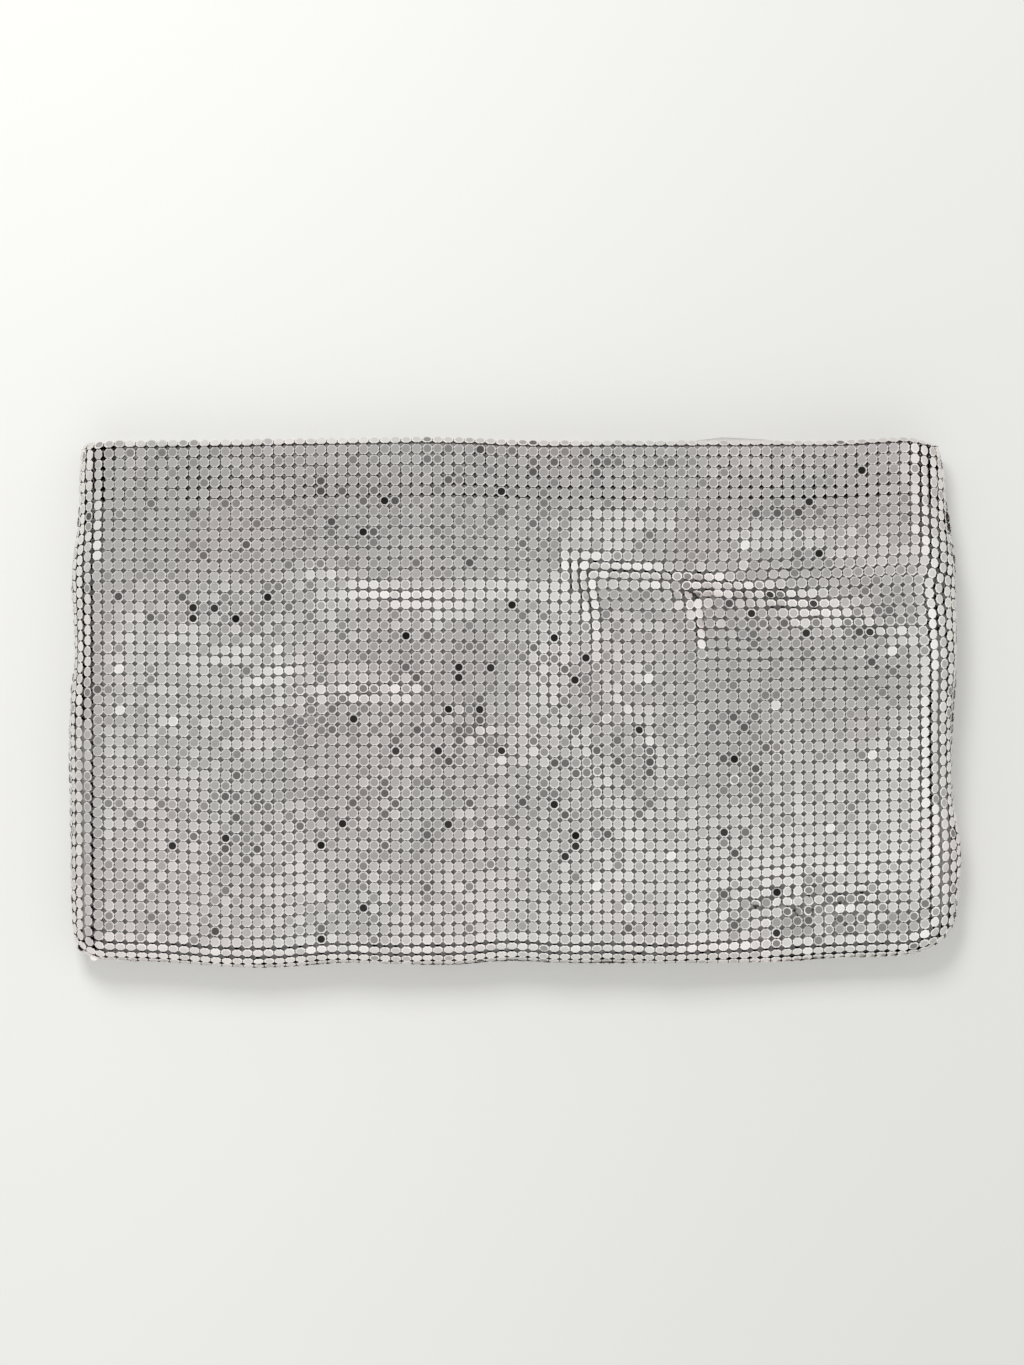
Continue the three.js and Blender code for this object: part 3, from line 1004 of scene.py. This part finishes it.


# wider dark straps on slopes are painted shade in the gaps that open there
def linkWidths(heading):
    fall = np.abs(heading[:, 2]) / np.linalg.norm(heading, axis=1)
    growing = ease((fall - link["widerFrom"]) / link["widerOver"])
    steep = ease((fall - link["steepFrom"]) / link["steepOver"])
    return 1 + link["wider"] * growing * (1 - link["steepLoss"] * steep)


linkPiece = linkMesh()
nextPlaces, nextFacing = np.roll(places, -1, axis=1), np.roll(facing, -1, axis=1)
linkRuns = {
    "across": between((places, facing), (nextPlaces, nextFacing)),
    "down": between((places[:-1], facing[:-1]), (places[1:], facing[1:])),
}
for direction, run in linkRuns.items():
    for label, columns in (("front", isFront), ("back", ~isFront)):
        middle, normal, heading = (part[:, columns].reshape(-1, 3) for part in run)
        # no link where the hem is half a pitch out of step with the roll, or where two plates face
        # away from each other
        isShort = np.linalg.norm(heading, axis=1) < link["longest"] * lattice["pitch"]
        keep = isShort & (np.linalg.norm(normal, axis=1) > 1)
        middle, normal, heading = middle[keep], normal[keep], heading[keep]
        count = len(middle)
        # the links' near-black tone is painted shade
        values = {
            "tone": np.full(count, link["tone"]),
            "dark": np.zeros(count),
            "width": linkWidths(heading),
        }
        name = "links_" + label + "_" + direction
        turns = turnsOf(heading, normal)
        piece = scatterPiece(name, linkPiece, middle, turns, values, meshSilver, 0.0, link["seed"])
        platePieces.append((piece, "mesh_" + label))

for piece, node in platePieces:
    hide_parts(node)
for shape in (finePlate, plainPlate, linkPiece):
    bpy.data.objects.remove(shape)
print("plates and links laid")


# Lining: the CAD's bag, made finer and given the small slack wrinkles of satin

lining = {
    "fullness": 0.5 * mm,       # how much further out it lies than the CAD's, up to the mesh's links
    "wrinkles": 10,
    "wrinkle": 0.22 * mm,
    "wrinkleLength": 7 * mm,
    "wrinkleStretch": (0.7, 2.5),
    "wrinkleTurn": 0.5,         # how far they turn from running down the bag, in radians
    "wrinklePhase": 6.28,       # anywhere in about a full turn
    "seed": 23,
    "peekFrom": 40 * mm,        # between these places across it shows above the mouth edge
    "peekTo": 104 * mm,
    "peekTop": 79.5 * mm,
    "peekLength": 9 * mm,
    "peekRound": 0.6,
}
liningMiddle = backHigh.z - 1 * mm


def wrinkleAt(points):
    draws = np.random.default_rng(lining["seed"])
    lift = np.zeros(len(points))
    for _ in range(lining["wrinkles"]):
        angle = draws.normal(0, lining["wrinkleTurn"])
        length = lining["wrinkleLength"] * draws.uniform(*lining["wrinkleStretch"])
        along = points[:, 0] * math.cos(angle) + points[:, 1] * math.sin(angle)
        lift += np.sin(along * 2 * math.pi / length + draws.uniform(0, lining["wrinklePhase"]))
    return lift * lining["wrinkle"] / math.sqrt(lining["wrinkles"])


def makeLining():
    mesh = bpy.data.objects["lining"].data.copy()
    mesh.name = "lining_satin"
    shape = bmesh.new()
    shape.from_mesh(mesh)
    bmesh.ops.remove_doubles(shape, verts=shape.verts, dist=0.005 * mm)
    bmesh.ops.join_triangles(
        shape, faces=shape.faces, angle_face_threshold=0.6, angle_shape_threshold=0.9,
    )
    shape.to_mesh(mesh)
    shape.free()
    piece = bpy.data.objects.new("lining_satin", mesh)
    scene.collection.objects.link(piece)
    for polygon in mesh.polygons:
        polygon.use_smooth = True
    mesh.materials.clear()
    mesh.materials.append(liningSatin)
    finer = piece.modifiers.new("finer", "SUBSURF")
    finer.levels = finer.render_levels = 1
    made = piece.evaluated_get(bpy.context.evaluated_depsgraph_get())
    fine = bpy.data.meshes.new_from_object(made)
    piece.modifiers.remove(finer)
    piece.data = fine
    count = len(fine.vertices)
    points = np.zeros(count * 3)
    fine.vertices.foreach_get("co", points)
    points = points.reshape(-1, 3)
    points[:, 2] += wrinkleAt(points)
    outwards = np.zeros(count * 3)
    fine.vertex_normals.foreach_get("vector", outwards)
    outwards = outwards.reshape(-1, 3)
    outside = outwards[:, 2] * (points[:, 2] - liningMiddle) > 0
    points += outwards * lining["fullness"] * outside[:, None]
    points[:, 2] += creaseAt(points) * (points[:, 2] > liningMiddle)
    # a stretch of the mouth edge is pulled up past the mesh's
    share = np.clip((points[:, 0] - lining["peekFrom"]) / (lining["peekTo"] - lining["peekFrom"]), 0, 1)
    top = points[:, 1].max()
    near = ease((points[:, 1] - top) / lining["peekLength"] + 1)
    peek = np.sin(share * math.pi) ** lining["peekRound"]
    points[:, 1] += near * peek * (lining["peekTop"] - top)
    fine.vertices.foreach_set("co", points.ravel())
    fine.update()
    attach(piece, "root")
    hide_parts("lining")
    return piece


liningPiece = makeLining()
print("lining made")


# Room: a pale table with a painted glow and a painted falloff of light, a bright soft surround and a soft
# key from the upper left

room = {
    "table": (0.46, 0.459, 0.445, 1),
    "tableGlow": 0.27,          # painted light: the table glows a little, though no lamp lights it, to fill in the shade round the pouch
    "tablePaintedFalloff": 0.09,          # painted falloff of the light: how much it darkens from the left of the picture to the right
    "fadeBetween": (-0.16, 0.16),
    "tableSize": 6,
    "tableDrop": 0.05 * mm,
    "keyPlace": (-0.3, 0.85, 0.95),
    "keySize": 0.45,
    "keyPower": 14,
    "lean": (0.75, -0.66),      # the side of the surround that is brighter, from above
    "leanBetween": (-0.08, 0.25),   # how far over to that side the brightness grows
    "leanBy": 0.6,
    "glint": (-0.65, 0.65, 0.38),   # a brighter patch of the surround, low on the upper left
    "glintBetween": (0.86, 0.97),
    "glintBy": 0.55,
}
# brightness of the surround by the height of the direction: 1 is straight up, 0 the horizon
surround = [
    (0.0, 0.48),
    (0.1, 0.62),
    (0.3, 0.67),
    (0.48, 0.66),
    (0.75, 0.59),
    (0.92, 0.525),
    (1.0, 0.52),
]


def addTable():
    half = room["tableSize"] / 2
    corners = [(-half, -half, 0), (half, -half, 0), (half, half, 0), (-half, half, 0)]
    mesh = bpy.data.meshes.new("table")
    mesh.from_pydata(corners, [], [(0, 1, 2, 3)])
    table = bpy.data.objects.new("table", mesh)
    table.location.z = -room["tableDrop"]
    scene.collection.objects.link(table)
    material, nodes, shader = newMaterial("tableTop")
    shader.inputs["Roughness"].default_value = 0.7
    shader.inputs["Specular IOR Level"].default_value = 0.2
    place = nodes.add("ShaderNodeTexCoord", out="Object")
    across = nodes.add("ShaderNodeSeparateXYZ", sockets={0: place})
    # painted falloff of the light across the table
    paintedFalloff = 1 - across.smooth(*room["fadeBetween"]) * room["tablePaintedFalloff"]
    colour = nodes.add("ShaderNodeVectorMath", {"operation": "SCALE"}, {
        0: room["table"][:3], "Scale": paintedFalloff,
    })
    fill(shader.inputs["Base Color"], colour, nodes.tree)
    # painted light: the table top glows
    fill(shader.inputs["Emission Color"], colour, nodes.tree)
    shader.inputs["Emission Strength"].default_value = room["tableGlow"] / room["table"][0]
    mesh.materials.append(material)


def addSurround():
    world = bpy.data.worlds.new("softSurround")
    scene.world = world
    world.use_nodes = True
    nodes = Trees(world.node_tree)
    direction = nodes.add("ShaderNodeTexCoord", out="Generated")
    height = nodes.add("ShaderNodeSeparateXYZ", sockets={0: direction}, out="Z")
    aside = nodes.add("ShaderNodeVectorMath", {"operation": "DOT_PRODUCT"}, {
        0: direction, 1: (*room["lean"], 0),
    }, out="Value")
    lean = aside.smooth(*room["leanBetween"]) * room["leanBy"] + 1
    towards = nodes.add("ShaderNodeVectorMath", {"operation": "DOT_PRODUCT"}, {
        0: direction, 1: Vector(room["glint"]).normalized(),
    }, out="Value")
    lean = lean + towards.smooth(*room["glintBetween"]) * room["glintBy"]
    background = world.node_tree.nodes["Background"]
    level = nodes.add("ShaderNodeValToRGB", {"stops": surround}, {0: height})
    fill(background.inputs["Color"], level, nodes.tree)
    fill(background.inputs["Strength"], lean, nodes.tree)


def addKey():
    light = bpy.data.lights.new("keySoftbox", "AREA")
    light.size = room["keySize"]
    light.energy = room["keyPower"]
    key = bpy.data.objects.new("keySoftbox", light)
    key.location = room["keyPlace"]
    key.rotation_euler = (-Vector(room["keyPlace"])).to_track_quat("-Z", "Y").to_euler()
    key.visible_glossy = False
    scene.collection.objects.link(key)


addTable()
addSurround()
addKey()
print("room lit")
